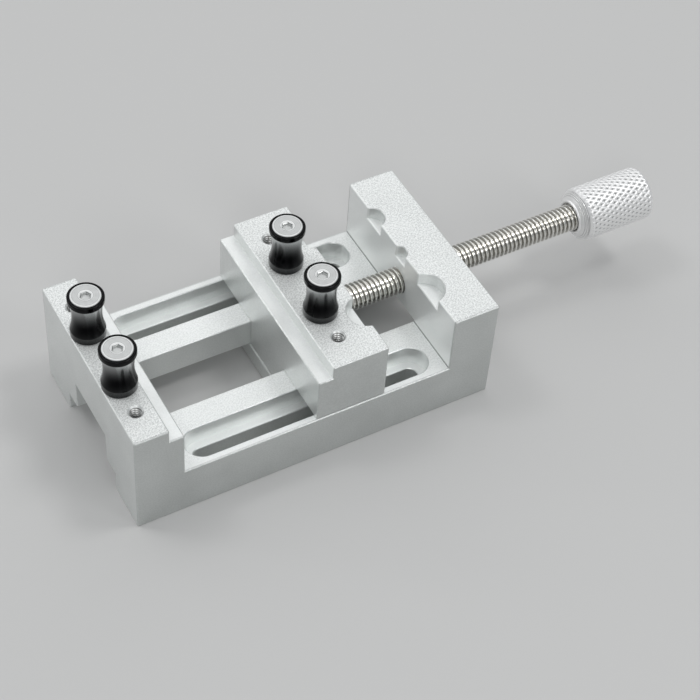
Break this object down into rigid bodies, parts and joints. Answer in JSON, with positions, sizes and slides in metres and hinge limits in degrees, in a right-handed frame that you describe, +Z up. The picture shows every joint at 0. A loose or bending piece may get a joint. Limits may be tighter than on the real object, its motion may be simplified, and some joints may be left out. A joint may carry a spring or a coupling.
{
  "type": "drill press vise",
  "caption": "Small drill press vise: machined aluminium base with fixed jaw, keyed sliding jaw, threaded lead screw with knurled knob, waisted black posts on the jaws and hold-down slots.",
  "frame": {"origin": "on the resting plane, under the middle of the whole vise as it stands at rest", "axes": "+X from the fixed jaw towards the knob, along the lead screw; +Z up; +Y to the rear side, that of the medium notch"},
  "size_m": [0.1781, 0.06, 0.0494],
  "materials": {
    "blasted_aluminium": "bead blasted, clear anodised, fine sparkle",
    "knurled_aluminium": "diamond knurled, clear anodised, turned collar",
    "stainless_thread": "rolled thread, bright",
    "black_anodised": "turned, black anodised, satin",
    "screw_steel": "turned stainless socket screw",
    "black_steel": "black oxide"
  },
  "bodies": {
    "base": {"base": "blasted_aluminium", "fixed_front_post": "black_anodised", "fixed_front_post_screw": "screw_steel", "fixed_rear_post": "black_anodised", "fixed_rear_post_screw": "screw_steel"},
    "moving_jaw": {"moving_jaw": "blasted_aluminium", "keeper_plate": "blasted_aluminium", "retaining_screw": "black_steel", "keeper_screw_1": "black_steel", "keeper_screw_2": "black_steel", "keeper_screw_3": "black_steel", "keeper_screw_4": "black_steel", "moving_front_post": "black_anodised", "moving_front_post_screw": "screw_steel", "moving_rear_post": "black_anodised", "moving_rear_post_screw": "screw_steel"},
    "lead_screw": {"lead_screw": "stainless_thread", "knob": "knurled_aluminium", "knob_set_screw": "black_steel"}
  },
  "joints": [
    {"name": "jaw_slide", "type": "slide", "parent": "base", "child": "moving_jaw", "axis": [1, 0, 0], "range_m": [-0.03923, 0.02046]},
    {"name": "screw_spin", "type": "hinge", "parent": "moving_jaw", "child": "lead_screw", "pos_m": [-0.01471, 0, 0.02335], "axis": [1, 0, 0], "range_deg": [-10009, 5221]}
  ],
  "couplings": [
    {"joint": "screw_spin", "follows": "jaw_slide", "rad_per_m": 4453}
  ]
}
